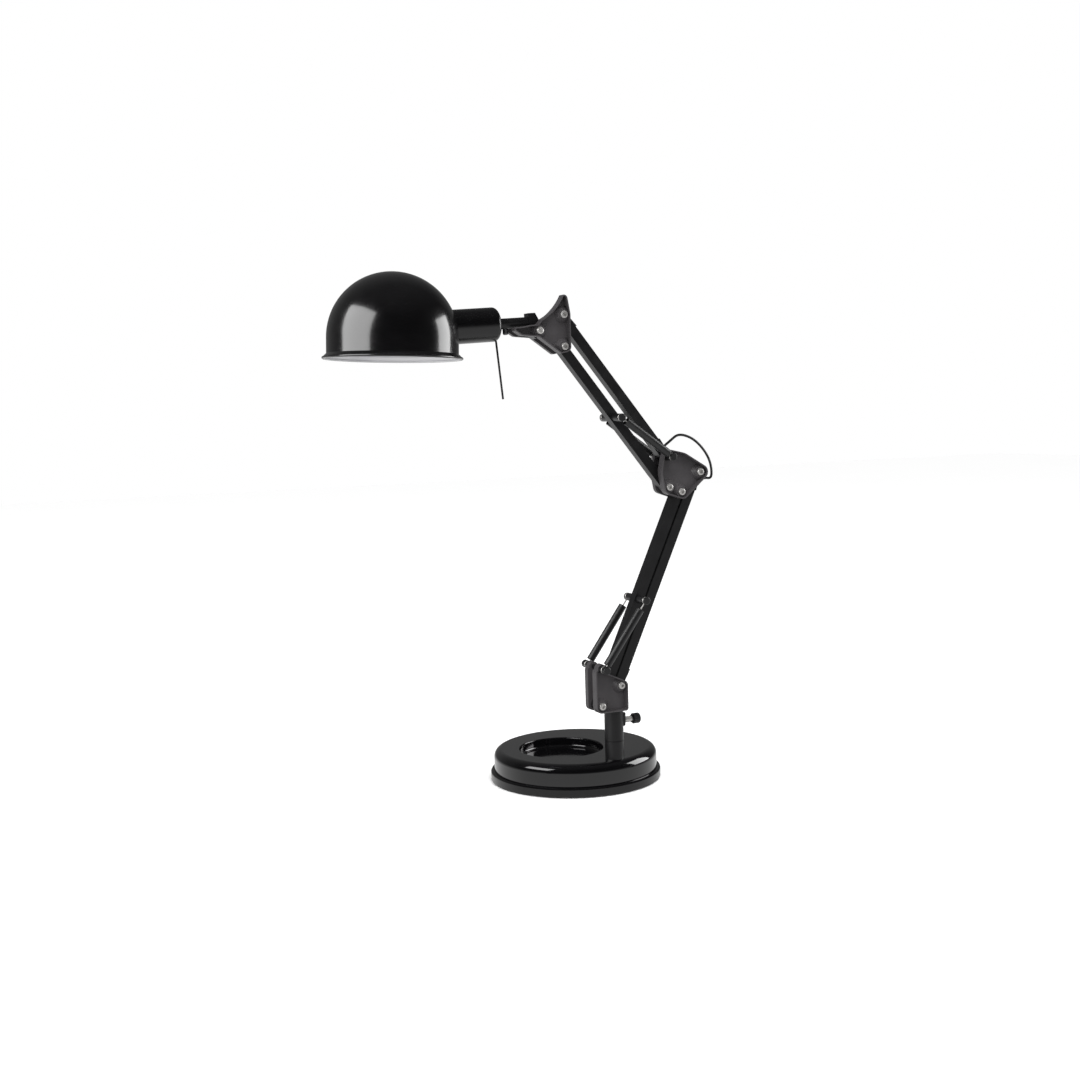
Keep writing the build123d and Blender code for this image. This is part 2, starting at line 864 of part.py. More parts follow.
def dome_form(radius):
    """The solid form of the shade at a radius: half a ball on a straight skirt."""
    skirt = Cylinder(radius, shade_skirt, align=(Align.CENTER, Align.CENTER, Align.MAX))
    return dome_centre() * (Sphere(radius) + skirt)


def holder_cover():
    """The tubular cover of the lampholder, shaped to the dome at its open end."""
    reach = shade_centre_along - holder_cover_start
    cover = rod(holder_cover_radius, reach, holder_cover_start)
    cover = fillet(cover.edges().sort_by(Axis.Z)[0], holder_cover_round)
    inner = rod(holder_cover_radius - holder_cover_wall, reach, holder_cover_start + holder_cover_wall)
    inner = fillet(inner.edges().sort_by(Axis.Z)[0], holder_cover_round - holder_cover_wall)
    cover = cover - inner - rod(neck_radius + seat_gap, neck_end)
    cover = neck_axis(0) * cover - dome_form(shade_radius + dome_gap)
    shell = cover.solids().sort_by(SortBy.VOLUME)[-1]
    return shell - handle_path_solid(handle_radius + seat_gap)


def neck_nut():
    """The nut that holds the cover on the neck."""
    start = holder_cover_start + holder_cover_wall
    nut_blank = hexagon(neck_nut_flats, neck_nut_height, start)
    return neck_axis(0) * (nut_blank - rod(neck_radius, 2 * neck_end))


def lampholder():
    """The moulded lampholder: a base on the neck, a shoulder outside the dome and a socket inside it."""
    body = rod(holder_radius, holder_mouth - neck_end, neck_end)
    body -= rod(holder_bore, holder_bore_depth + overrun, holder_mouth - holder_bore_depth)
    body = neck_axis(0) * body
    reach = shade_centre_along - neck_end
    flange = neck_axis(0) * ring(holder_flange_radius, holder_radius, reach, neck_end)
    flange = flange & (dome_form(shade_radius + holder_flange) - dome_form(shade_radius))
    near = flange.solids().sort_by(Axis.X)[-1]
    return body + near


def holder_shell():
    """The threaded metal shell inside the lampholder."""
    start = holder_mouth - holder_bore_depth
    length = holder_bore_depth - contact_height
    return neck_axis(0) * ring(holder_bore, holder_bore - shell_wall, length, start)


def holder_contact():
    """The centre contact at the bottom of the socket."""
    return neck_axis(0) * rod(contact_radius, contact_height, holder_mouth - holder_bore_depth)


def shade_ring():
    """The ring nut inside the shade, which clamps the dome to the lampholder."""
    tube = neck_axis(0) * ring(ring_radius, holder_radius, shade_centre_along, 0)
    keep = dome_form(shade_radius - shade_wall) - neck_axis(holder_mouth - ring_length) * rod(
        2 * ring_radius, shade_centre_along
    )
    tube = tube & keep
    return tube.solids().sort_by(SortBy.VOLUME)[-1]


def shade_profile():
    """Half of the shade's section: a round dome, a straight skirt and a turned-out brim."""
    inner = shade_radius - shade_wall
    skirt = brim_height - shade_skirt
    brim_radius = shade_rim_radius - brim_bead
    brim = 2 * brim_bead - shade_skirt
    half = math.sqrt(0.5)
    outer_side = [
        ThreePointArc((0, shade_radius), (shade_radius * half, shade_radius * half), (shade_radius, 0)),
        Line((shade_radius, 0), (shade_radius, skirt)),
        Line((shade_radius, skirt), (brim_radius, brim)),
        Line((brim_radius, brim), (brim_radius - shade_wall, brim - shade_wall)),
        Line((brim_radius - shade_wall, brim - shade_wall), (inner, skirt - shade_wall / 2)),
        Line((inner, skirt - shade_wall / 2), (inner, 0)),
        ThreePointArc((inner, 0), (inner * half, inner * half), (0, inner)),
        Line((0, inner), (0, shade_radius)),
    ]
    return Plane.XZ * make_face(Curve() + outer_side)


def shade():
    """The spun shade with its rolled rim."""
    shell = revolve(shade_profile(), Axis.Z)
    bead = Pos(0, 0, brim_bead - shade_skirt) * Torus(shade_rim_radius - brim_bead, brim_bead)
    shell = dome_centre() * (shell + bead)
    return shell - neck_axis(neck_end) * rod(holder_radius + seat_gap, holder_mouth - neck_end + overrun)


def handle_path():
    """The rod handle's line: out along the cover's wall, round a bend, and down."""
    lean = math.radians(handle_lean)
    top = neck_rise - holder_cover_radius + holder_cover_wall + handle_radius
    corner = (handle_along, top)
    foot = (handle_along - handle_length * math.sin(lean), top - handle_length * math.cos(lean))
    inside = (handle_along + handle_inside, top)
    return Plane.XZ * FilletPolyline(inside, corner, foot, radius=handle_bend)


def handle_path_solid(radius):
    """A round bar along the rod handle's line."""
    path = handle_path()
    section = Plane(origin=path @ 0, z_dir=path % 0) * Circle(radius)
    return neck_place() * sweep(section, path)


def rod_handle():
    """The thin rod by which the head is turned."""
    return handle_path_solid(handle_radius)


def clamp_cap():
    """The domed cap nut on the near side of the clamp bolt."""
    cap = rod(bolt_head_radius, bolt_head + cap_rise)
    cap = fillet(cap.edges().sort_by(Axis.Z)[-1], cap_round)
    return cross(clamp, seat_height) * cap


def clamp_bolt():
    """The clamp bolt through the knuckle, with its domed head on the near side."""
    return clamp_cap() + cross_rod(clamp, bolt_radius, -seat_height - nut_height - fit_gap, seat_height)


def on_bar(start, end, distance, rise):
    """The point at a distance along a bar from start, and a rise above its outer face's side."""
    length = reach_between(start, end)
    along_x = (end[0] - start[0]) / length
    along_z = (end[1] - start[1]) / length
    side = 1 if along_z > 0 else -1
    base = (start[0] + along_x * distance, start[1] + along_z * distance)
    return (base[0] + side * along_z * rise, base[1] - side * along_x * rise)


def cord_corners():
    """The corners of the cord loop's route, from the upper link bar to the rear lower bar."""
    first = on_bar(elbow_pin, head_link, cord_entry, cord_depth)
    last = on_bar(rear_top, rear_foot, cord_exit, cord_depth)
    crest = shifted(elbow_pin, cord_crest_x, cord_crest_z)
    half = cord_crest_run / 2
    slope = math.radians(cord_crest_slope)
    before = shifted(crest, -half * math.cos(slope), half * math.sin(slope))
    after = shifted(crest, half * math.cos(slope), -half * math.sin(slope))
    rising = [shifted(elbow_pin, dx, dz) for dx, dz in cord_rise]
    falling = [shifted(elbow_pin, dx, dz) for dx, dz in cord_fall]
    return [first] + rising + [before, crest], [crest, after] + falling + [last]


def rounded_path(corners):
    """A path of straight runs and the widest even bends through the corners."""
    radii = []
    for before, corner, after in zip(corners, corners[1:], corners[2:]):
        into = Vector(corner[0] - before[0], corner[1] - before[1])
        out = Vector(after[0] - corner[0], after[1] - corner[1])
        turn = math.radians(into.get_angle(out))
        shorter = min(into.length, out.length)
        radii.append(bend_share * shorter / math.tan(turn / 2))
    print("cord radii", [round(r, 1) for r in radii])
    return Plane.XZ * FilletPolyline(*corners, radius=radii)


def cord_span(corners):
    """One half of the round cord's loop."""
    path = rounded_path(corners)
    section = Plane(origin=path @ 0, z_dir=path % 0) * Circle(cord_radius)
    tube = sweep(section, path)
    share = tube.volume / (section.area * path.length)
    print("cord length", round(path.length, 1), "share", round(share, 4))
    return tube


def write_base():
    """Writes the nodes of the base and the post."""
    export(base_cover(), "base_cover")
    export(base_tray(), "base_tray")
    export(base_weight(), "base_weight")
    export(base_pad(), "base_pad")
    export(base_screws(), "base_screws")
    export(cord_grommet(), "cord_grommet")
    export_on_post(clamp_spacer(), "clamp_spacer")
    export_on_post(foot_nut(), "foot_nut")
    export_on_post(post_core(), "post_core")
    export_on_post(post_lower_tube(), "post_lower_tube")
    export_on_post(post_upper_tube(), "post_upper_tube")
    export_on_post(thumb_screw(), "thumb_screw")
    export_on_post(thumb_knob(), "thumb_knob")


def write_foot():
    """Writes the nodes of the foot bracket."""
    export_on_post(foot_plate(plate_depth), "foot_plate_near")
    export_on_post(mirror(foot_plate(far_foot_depth), about=Plane.XZ), "foot_plate_far")
    export_on_post(swivel_spigot(), "swivel_spigot")
    export_on_post(anchor_pins(), "anchor_pins")
    export_on_post(group([bolt(front_foot), bolt(rear_foot)]), "foot_bolts")
    export_on_post(group([nut(front_foot), nut(rear_foot)]), "foot_nuts")
    export_on_post(group([washers(front_foot), washers(rear_foot)]), "foot_washers")


def write_lower_arm():
    """Writes the nodes of the lower arm."""
    rear = drilled(bar(rear_foot, rear_top), rear_foot, bolt_radius + fit_gap)
    rear = drilled(rear, rear_top, bolt_radius + fit_gap)
    rear -= bush_slot(rear_foot, rear_top)
    rear -= turned_slot(rear_top, rear_foot)
    export_on_post(rear, "lower_rear_bar")
    front = drilled(bar(front_foot, front_top), front_foot, bolt_radius + fit_gap)
    front = drilled(front, front_top, bolt_radius + fit_gap)
    export_on_post(drilled(front, lower_pin, pin_radius), "lower_front_bar")
    bushes = [cord_bush(rear_foot, rear_top), turned_bush(rear_top, rear_foot)]
    export_on_post(group(bushes), "lower_cord_bushes")
    half = bar_width / 2 + fit_gap
    export_on_post(spaced_pin(lower_pin, half, mid_pin_reach), "lower_spring_pin")
    export_on_post(hook(anchor, lower_pin, plug_start + plug_length), "lower_foot_hooks")
    export_on_post(sleeve(anchor, lower_pin, lower_sleeve_end), "lower_spring_sleeves")
    export_on_post(coil(anchor, lower_pin, lower_coil_end), "lower_spring_coils")
    export_on_post(hook(lower_pin, anchor, lower_shank), "lower_top_hooks")


def turned_slot(start, end):
    """The cord slot at a bar's upper end, on the same face as the one at its lower end."""
    return mirrored_on_bar(bush_slot, start, end)


def turned_bush(start, end):
    """The cord bush at a bar's upper end, on the same face as the one at its lower end."""
    return mirrored_on_bar(cord_bush, start, end)


def mirrored_on_bar(make, start, end):
    """What make draws at start, moved to the other long face of the bar."""
    direction = Vector(end[0] - start[0], 0, end[1] - start[1])
    across = direction.cross(Vector(0, 1, 0))
    plane = Plane(origin=(start[0], 0, start[1]), x_dir=(0, 1, 0), z_dir=across)
    return mirror(make(start, end), about=plane)


def write_elbow():
    """Writes the nodes of the elbow bracket."""
    export_on_post(elbow_plate(plate_depth), "elbow_plate_near")
    export_on_post(mirror(elbow_plate(far_plate_depth), about=Plane.XZ), "elbow_plate_far")
    pivots = [elbow_pivot, front_top, rear_top]
    export_on_post(group([bolt(point) for point in pivots]), "elbow_bolts")
    export_on_post(group([nut(point) for point in pivots]), "elbow_nuts")
    export_on_post(group([washers(point) for point in pivots]), "elbow_washers")
    start = plate_face + fit_gap
    export_on_post(spaced_pin(elbow_pin, start, elbow_pin_reach), "elbow_spring_pin")


def write_upper_arm():
    """Writes the nodes of the upper arm."""
    lower = drilled(bar(elbow_pivot, head_pivot), elbow_pivot, bolt_radius + fit_gap)
    lower = drilled(lower, head_pivot, bolt_radius + fit_gap)
    export_on_post(drilled(lower, upper_pin, pin_radius), "upper_lower_bar")
    link = drilled(bar(elbow_pin, head_link), elbow_pin, pin_radius + fit_gap)
    link = drilled(link, head_link, bolt_radius + fit_gap)
    link -= bush_slot(elbow_pin, head_link)
    link -= turned_slot(head_link, elbow_pin)
    export_on_post(link, "upper_link_bar")
    bushes = [cord_bush(elbow_pin, head_link), turned_bush(head_link, elbow_pin)]
    export_on_post(group(bushes), "upper_cord_bushes")
    half = bar_width / 2 + fit_gap
    export_on_post(spaced_pin(upper_pin, half, mid_pin_reach), "upper_spring_pin")
    export_on_post(hook(elbow_pin, upper_pin, plug_start + plug_length), "upper_foot_hooks")
    export_on_post(sleeve(elbow_pin, upper_pin, upper_sleeve_end), "upper_spring_sleeves")
    export_on_post(coil(elbow_pin, upper_pin, upper_coil_end), "upper_spring_coils")
    export_on_post(hook(upper_pin, elbow_pin, upper_shank), "upper_top_hooks")


def write_head():
    """Writes the nodes of the head bracket and the head."""
    export_on_post(near_head_plate(), "head_plate_near")
    export_on_post(mirror(far_head_plate(), about=Plane.XZ), "head_plate_far")
    pivots = [head_pivot, head_link]
    export_on_post(group([bolt(point) for point in pivots] + [clamp_bolt()]), "head_bolts")
    export_on_post(group([nut(point) for point in pivots + [clamp]]), "head_nuts")
    rings = [washers(point) for point in pivots] + [washers(clamp, knuckle_width / 2)]
    export_on_post(group(rings), "head_washers")
    export_on_post(knuckle(), "knuckle")
    export_on_post(neck_tube(), "neck_tube")
    export_on_post(lock_screw(), "neck_lock_screw")
    export_on_post(neck_collar(), "neck_collar")
    export_on_post(neck_nut(), "neck_nut")
    export_on_post(holder_cover(), "socket_cover")
    export_on_post(lampholder(), "lampholder")
    export_on_post(group([holder_shell(), holder_contact()]), "socket_contacts")
    export_on_post(shade_ring(), "shade_ring")
    export_on_post(shade(), "shade")
    export_on_post(rod_handle(), "rod_handle")


def write_cord():
    """Writes the two halves of the cord loop over the elbow."""
    upper, lower = cord_corners()
    export_on_post(cord_span(upper), "cord_loop_upper")
    export_on_post(cord_span(lower), "cord_loop_lower")


os.makedirs("parts", exist_ok=True)
write_base()
write_foot()
write_lower_arm()
write_elbow()
write_upper_arm()
write_head()
write_cord()
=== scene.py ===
import math

import bpy
from mathutils import Matrix, Vector

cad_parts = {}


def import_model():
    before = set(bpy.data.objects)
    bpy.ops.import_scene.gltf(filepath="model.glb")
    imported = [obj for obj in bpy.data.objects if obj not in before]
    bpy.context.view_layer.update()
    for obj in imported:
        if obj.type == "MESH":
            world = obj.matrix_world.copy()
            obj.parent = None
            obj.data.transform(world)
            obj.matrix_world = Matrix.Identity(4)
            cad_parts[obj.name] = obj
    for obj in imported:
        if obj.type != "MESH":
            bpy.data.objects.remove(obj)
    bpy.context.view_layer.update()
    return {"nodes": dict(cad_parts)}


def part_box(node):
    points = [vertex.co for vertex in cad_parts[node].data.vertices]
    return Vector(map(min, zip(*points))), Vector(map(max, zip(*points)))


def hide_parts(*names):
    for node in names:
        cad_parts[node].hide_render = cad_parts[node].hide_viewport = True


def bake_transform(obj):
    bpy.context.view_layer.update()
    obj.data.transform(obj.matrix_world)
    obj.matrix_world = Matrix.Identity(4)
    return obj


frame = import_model()
nodes = frame["nodes"]

MM = 0.001

# The photograph's camera: place and reach in metres, angles in degrees, lens and sensor in millimetres
CAMERA_PLACE = (-0.6307, -1.3398, 0.3920)
CAMERA_YAW = 24.26
CAMERA_DROP = 4.71
CAMERA_ROLL = -1.70
CAMERA_LENS = 47.12
CAMERA_SHIFT = (-0.0050, -0.01483)
CAMERA_REACH = 50
SENSOR = 36.0

# Colours, linear
BLACK = (0.0022, 0.0021, 0.0025)
# The plates' black enamel is made a dark grey: painted light, standing in for the light their flat faces
# catch
PLATE_BLACK_WITH_PAINTED_LIGHT = (0.060, 0.056, 0.059)
BAR_BLACK = (0.0050, 0.0048, 0.0054)
SOFT_BLACK = (0.0065, 0.0065, 0.0070)
RUBBER_BLACK = (0.010, 0.010, 0.010)
ZINC = (0.52, 0.51, 0.495)
STEEL = (0.16, 0.16, 0.165)
IRON = (0.035, 0.034, 0.033)
BRASS = (0.62, 0.46, 0.19)
WHITE = (0.58, 0.58, 0.595)
FELT = (0.012, 0.012, 0.013)
FLOOR = (0.98, 0.98, 0.98)

# Enamels: range of roughness, height of the orange peel, weight and blur of the clear coat, and strength of
# reflection
BAR_ENAMEL = {"rough": (0.30, 0.40), "peel": 0.010 * MM, "coat": 0.0, "blur": 0.05, "shine": 0.35}
PLATE_ENAMEL = {"rough": (0.34, 0.44), "peel": 0.010 * MM, "coat": 0.0, "blur": 0.05, "shine": 0.25}
SHADE_ENAMEL = {"rough": (0.16, 0.21), "peel": 0.002 * MM, "coat": 0.35, "blur": 0.09, "shine": 0.5}
BASE_ENAMEL = {"rough": (0.08, 0.13), "peel": 0.004 * MM, "coat": 0.35, "blur": 0.05, "shine": 0.5}

# Plastics and rubber: range of roughness and height of the grain
GLOSS_PLASTIC = {"rough": (0.2, 0.26), "grain": 0.001 * MM}
SATIN_PLASTIC = {"rough": (0.32, 0.42), "grain": 0.002 * MM}
RUBBER = {"rough": (0.5, 0.65), "grain": 0.020 * MM}
CORD_SHEATH = {"rough": (0.28, 0.38), "grain": 0.004 * MM}

# Metals: range of roughness and how metallic they are
BRIGHT_ZINC = {"rough": (0.2, 0.3), "metallic": 0.6}
DARK_STEEL = {"rough": (0.3, 0.45), "metallic": 1.0}
SOCKET_BRASS = {"rough": (0.22, 0.35), "metallic": 1.0}
METAL_MARKS = 0.004 * MM

IRON_ROUGHNESS = 0.7
IRON_METALLIC = 0.6
IRON_GRAIN = 0.2 * MM
FELT_ROUGHNESS = 0.95
FELT_FIBRES = 0.3 * MM
FELT_SHEEN = 0.3
FLOOR_ROUGHNESS = 0.9

# The noise of each kind of finish, as waves per metre and levels of detail
ENAMEL_NOISE = {"gloss": (90, 4), "colour": (40, 2), "surface": (900, 2)}
PLASTIC_NOISE = {"gloss": (260, 4), "colour": (60, 3), "surface": (2600, 3)}
METAL_NOISE = {"surface": (1400, 4), "colour": (300, 3)}
IRON_NOISE = {"colour": (200, 5), "surface": (700, 5)}
FELT_NOISE = {"colour": (1500, 6), "surface": (3200, 6)}
FLOOR_NOISE = (3, 2)
NOISE_ROUGHNESS = 0.55
NOISE_SPAN = (0.3, 0.7)

# The darkest and lightest places of each kind of finish, as shares of its colour
ENAMEL_SHADES = (0.85, 1.2)
PLASTIC_SHADES = (0.8, 1.25)
METAL_SHADES = (0.82, 1.1)
IRON_SHADES = (0.6, 1.5)
FELT_SHADES = (0.6, 1.9)
FLOOR_SHADES = (0.995, 1.0)

# The white inside of the shade: its axis, how far its middle is over the shade's lowest point, and where the
# rolled rim ends, along the axis from that middle
SHADE_AXIS = (0.0373, 0.0, 0.9993)
SHADE_MIDDLE = 20 * MM
RIM_END = -17.4 * MM

SMOOTH_ANGLE = 35
FLOOR_SIZE = 12.0

# The cord loop over the elbow as (x, z) places: from the link bar over to where the halves join, and from
# there down to the rear lower bar
ARM_PLANE = -68.94 * MM
CORD_DIAMETER = 2.6 * MM
CORD_STEPS = 12
CORD_BEVEL = 6
CORD_ORDER = 3
CORD_RISE = [
    (0.0735, 0.3459), (0.0850, 0.3540), (0.0944, 0.3609),
    (0.1078, 0.3578), (0.1189, 0.3503), (0.1239, 0.3443),
]
CORD_FALL = [
    (0.1239, 0.3443), (0.1288, 0.3384), (0.1335, 0.3266),
    (0.1338, 0.3131), (0.1244, 0.3146), (0.1114, 0.3118),
]

# Brightness of the studio as a light, under the horizon and over it
GROUND_LIGHT = 0.6
WORLD_LIGHT = 1.0
HORIZON = 0.1

# Brightness of the studio in reflections: (height, level) pairs, from 0 straight down to 1 straight up, and
# what the part behind adds
REFLECTED = ((0.36, 0.85), (0.50, 0.02), (0.80, 0.02), (0.97, 0.08))
BEHIND_SPAN = (0.2, 0.9)
BEHIND = 0.13

# The place by the shade that the side panels look at
DOME = (-0.2, -0.07, 0.45)

# The studio's lights, in metres and watts, with the rays that miss them and the nodes they reach or leave out
LIGHTS = {
    "left_panel": {
        "place": (-2.19, -0.24, 1.2), "target": DOME, "size": (2.3, 2.0), "watts": 90,
        "missed_by": "diffuse", "leaves_out": ("base_cover", "base_tray"),
    },
    "right_panel": {
        "place": (1.38, -0.29, 0.6), "target": DOME, "size": (0.9, 1.0), "watts": 18,
        "missed_by": "diffuse", "leaves_out": ("base_tray",),
    },
    "base_panel": {
        "place": (-2.19, -0.24, 1.65), "target": (0.0, 0.0, 0.03), "size": (1.7, 1.1), "watts": 36,
        "missed_by": "diffuse", "reaches": ("base_cover",),
    },
    "top_panel": {
        "place": (0.0, -0.9, 2.4), "target": (-0.1, -0.05, 0.25), "size": (1.6, 1.6), "watts": 40,
        "missed_by": "glossy",
    },
    "under_panel": {
        "place": (-0.6, -0.25, 0.06), "target": (-0.17, -0.05, 0.4), "size": (0.4, 0.4), "watts": 2.5,
        "missed_by": "glossy",
    },
}


def give(tree, target, source):
    """Joins a socket to an input, or sets the input to a plain value."""
    if isinstance(source, bpy.types.NodeSocket):
        tree.links.new(source, target)
    else:
        target.default_value = source


def ranged(tree, value, span, low=0.0, high=1.0):
    """The value spread from low to high over a span."""
    node = tree.nodes.new("ShaderNodeMapRange")
    node.inputs["From Min"].default_value, node.inputs["From Max"].default_value = span
    give(tree, node.inputs["Value"], value)
    give(tree, node.inputs["To Min"], low)
    give(tree, node.inputs["To Max"], high)
    return node.outputs["Result"]


def maths(tree, operation, first, second):
    """A sum on two numbers."""
    node = tree.nodes.new("ShaderNodeMath")
    node.operation = operation
    give(tree, node.inputs[0], first)
    give(tree, node.inputs[1], second)
    return node.outputs["Value"]


def vector_maths(tree, operation, result, first, second):
    """A sum on two vectors, whose result is a Vector or a Value."""
    node = tree.nodes.new("ShaderNodeVectorMath")
    node.operation = operation
    give(tree, node.inputs[0], first)
    give(tree, node.inputs[1], second)
    return node.outputs[result]


def mixed(tree, kind, factor, first, second):
    """The first of two numbers or colours where the factor is 0, and the second where it is 1."""
    node = tree.nodes.new("ShaderNodeMix")
    node.data_type = kind
    give(tree, node.inputs["Factor"], factor)
    give(tree, node.inputs["A"], first)
    give(tree, node.inputs["B"], second)
    return node.outputs["Result"]


class Look:
    """A procedural material, built node by node round one principled shader."""

    def __init__(self, name, colour, roughness, metallic=0.0):
        self.colour = colour
        self.material = bpy.data.materials.new(name)
        self.material.use_nodes = True
        self.tree = self.material.node_tree
        self.shader = self.tree.nodes["Principled BSDF"]
        self.place = self.tree.nodes.new("ShaderNodeTexCoord")
        self.give("Base Color", (*colour, 1.0))
        self.give("Roughness", roughness)
        self.give("Metallic", metallic)

    def give(self, name, source):
        """Joins a socket to one of the shader's inputs, or sets the input."""
        give(self.tree, self.shader.inputs[name], source)

    def noise(self, scale, detail):
        """Noise over the piece's own space, with a scale in waves per metre."""
        noise = self.tree.nodes.new("ShaderNodeTexNoise")
        noise.inputs["Scale"].default_value = scale
        noise.inputs["Detail"].default_value = detail
        noise.inputs["Roughness"].default_value = NOISE_ROUGHNESS
        give(self.tree, noise.inputs["Vector"], self.place.outputs["Object"])
        return noise.outputs["Fac"]

    def rough(self, value, low, high):
        """Varies the roughness with noise."""
        self.give("Roughness", ranged(self.tree, value, NOISE_SPAN, low, high))

    def bump(self, value, height):
        """Raises the surface with noise, to a height in metres."""
        bump = self.tree.nodes.new("ShaderNodeBump")
        bump.inputs["Strength"].default_value = 1.0
        bump.inputs["Distance"].default_value = height
        give(self.tree, bump.inputs["Height"], value)
        self.give("Normal", bump.outputs["Normal"])

    def tint(self, value, shares):
        """Varies the colour with noise, between two shares of it."""
        dark, light = ((*shaded(self.colour, share), 1.0) for share in shares)
        self.give("Base Color", mixed(self.tree, "RGBA", ranged(self.tree, value, NOISE_SPAN), dark, light))


def shaded(colour, share):
    """The colour made lighter or darker by a share."""
    return tuple(min(1.0, part * share) for part in colour)


def enamel(name, colour, rough, peel, coat, blur, shine):
    """Baked enamel with a faint orange peel and a clear coat."""
    look = Look(name, colour, rough[0])
    look.rough(look.noise(*ENAMEL_NOISE["gloss"]), *rough)
    look.tint(look.noise(*ENAMEL_NOISE["colour"]), ENAMEL_SHADES)
    look.bump(look.noise(*ENAMEL_NOISE["surface"]), peel)
    look.give("Coat Weight", coat)
    look.give("Coat Roughness", blur)
    look.give("Specular IOR Level", shine)
    return look


def moulded(name, colour, rough, grain):
    """Moulded plastic with a fine grain."""
    look = Look(name, colour, rough[0])
    look.rough(look.noise(*PLASTIC_NOISE["gloss"]), *rough)
    look.tint(look.noise(*PLASTIC_NOISE["colour"]), PLASTIC_SHADES)
    look.bump(look.noise(*PLASTIC_NOISE["surface"]), grain)
    return look


def metal(name, colour, rough, metallic):
    """Plated or turned metal with fine marks."""
    look = Look(name, colour, rough[0], metallic)
    marks = look.noise(*METAL_NOISE["surface"])
    look.rough(marks, *rough)
    look.tint(look.noise(*METAL_NOISE["colour"]), METAL_SHADES)
    look.bump(marks, METAL_MARKS)
    return look


def cast(name, colour):
    """Rough cast iron."""
    look = Look(name, colour, IRON_ROUGHNESS, IRON_METALLIC)
    look.tint(look.noise(*IRON_NOISE["colour"]), IRON_SHADES)
    look.bump(look.noise(*IRON_NOISE["surface"]), IRON_GRAIN)
    return look


def felt(name, colour):
    """Dark felt with short fibres."""
    look = Look(name, colour, FELT_ROUGHNESS)
    look.tint(look.noise(*FELT_NOISE["colour"]), FELT_SHADES)
    look.bump(look.noise(*FELT_NOISE["surface"]), FELT_FIBRES)
    look.give("Sheen Weight", FELT_SHEEN)
    return look


def whiten_inside(look, centre):
    """Makes the side of the shade that faces its centre white, above the rolled rim."""
    tree = look.tree
    offset = vector_maths(tree, "SUBTRACT", "Vector", look.place.outputs["Object"], centre)
    height = vector_maths(tree, "DOT_PRODUCT", "Value", offset, SHADE_AXIS)
    facing = vector_maths(tree, "DOT_PRODUCT", "Value", offset, look.place.outputs["Normal"])
    inward = maths(tree, "LESS_THAN", facing, 0.0)
    above = maths(tree, "GREATER_THAN", height, RIM_END)
    outside = look.shader.inputs["Base Color"].links[0].from_socket
    inside = maths(tree, "MULTIPLY", inward, above)
    look.give("Base Color", mixed(tree, "RGBA", inside, outside, (*WHITE, 1.0)))


def dress(look, *names):
    """Gives CAD nodes a material in all their slots."""
    for name in names:
        piece = nodes[name]
        piece.data.materials.clear()
        piece.data.materials.append(look.material)


def smooth_all():
    """Shades the faces of every CAD node smoothly, up to an edge angle."""
    for name in nodes:
        nodes[name].data.shade_smooth()
        nodes[name].data.set_sharp_from_angle(angle=math.radians(SMOOTH_ANGLE))


def cord_curve(name, route):
    """A smooth open curve that a list of (x, z) places in the arm plane steers."""
    data = bpy.data.curves.new(name, "CURVE")
    data.dimensions = "3D"
    data.resolution_u = CORD_STEPS
    spline = data.splines.new("NURBS")
    spline.points.add(len(route) - 1)
    for point, place in zip(spline.points, route):
        point.co = (*place_in_plane(place), 1)
    spline.order_u = CORD_ORDER
    spline.use_endpoint_u = True
    obj = bpy.data.objects.new(name, data)
    bpy.context.scene.collection.objects.link(obj)
    return obj


def cord_half(name, route, node, look):
    """Half of the cord loop as a smooth tube in place of its CAD node, and the line it follows."""
    curve = cord_curve(name + "_route", route)
    bpy.context.view_layer.update()
    line = bpy.data.meshes.new_from_object(curve)
    path = [tuple(vertex.co) for vertex in line.vertices]
    curve.data.bevel_depth = CORD_DIAMETER / 2
    curve.data.bevel_resolution = CORD_BEVEL
    curve.data.use_fill_caps = True
    bpy.context.view_layer.update()
    tube = bpy.data.objects.new(name, bpy.data.meshes.new_from_object(curve))
    bpy.context.scene.collection.objects.link(tube)
    bpy.data.objects.remove(curve)
    tube.data.materials.clear()
    tube.data.materials.append(look.material)
    tube.data.shade_smooth()
    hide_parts(node)
    return tube, path


def place_in_plane(pair):
    """The point of the arm plane at an (x, z) place."""
    return (pair[0], ARM_PLANE, pair[1])


def cord_loop():
    """The loop of cord over the elbow, as two smooth tubes in place of its CAD nodes."""
    look = moulded("cord_sheath", RUBBER_BLACK, **CORD_SHEATH)
    rise, rise_path = cord_half("cord_rise", CORD_RISE, "cord_loop_upper", look)
    fall, fall_path = cord_half("cord_fall", CORD_FALL, "cord_loop_lower", look)
    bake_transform(rise)
    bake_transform(fall)


def dress_shade():
    """The shade, black outside and white inside."""
    look = enamel("shade_enamel", BLACK, **SHADE_ENAMEL)
    low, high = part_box("shade")
    whiten_inside(look, Vector(((low.x + high.x) / 2, (low.y + high.y) / 2, low.z + SHADE_MIDDLE)))
    dress(look, "shade")


def dress_enamel():
    """The painted bars, plates and base."""
    dress(
        enamel("bar_enamel", BAR_BLACK, **BAR_ENAMEL),
        "lower_rear_bar", "lower_front_bar", "upper_lower_bar", "upper_link_bar",
        "knuckle", "neck_tube", "rod_handle", "swivel_spigot", "post_lower_tube", "post_upper_tube",
    )
    # The plates' enamel colour holds painted light on their faces, so it is much lighter than the bars'
    dress(
        enamel("plate_enamel_painted_light", PLATE_BLACK_WITH_PAINTED_LIGHT, **PLATE_ENAMEL),
        "foot_plate_near", "foot_plate_far", "elbow_plate_near", "elbow_plate_far",
        "head_plate_near", "head_plate_far",
    )
    dress(enamel("base_enamel", BLACK, **BASE_ENAMEL), "base_cover")


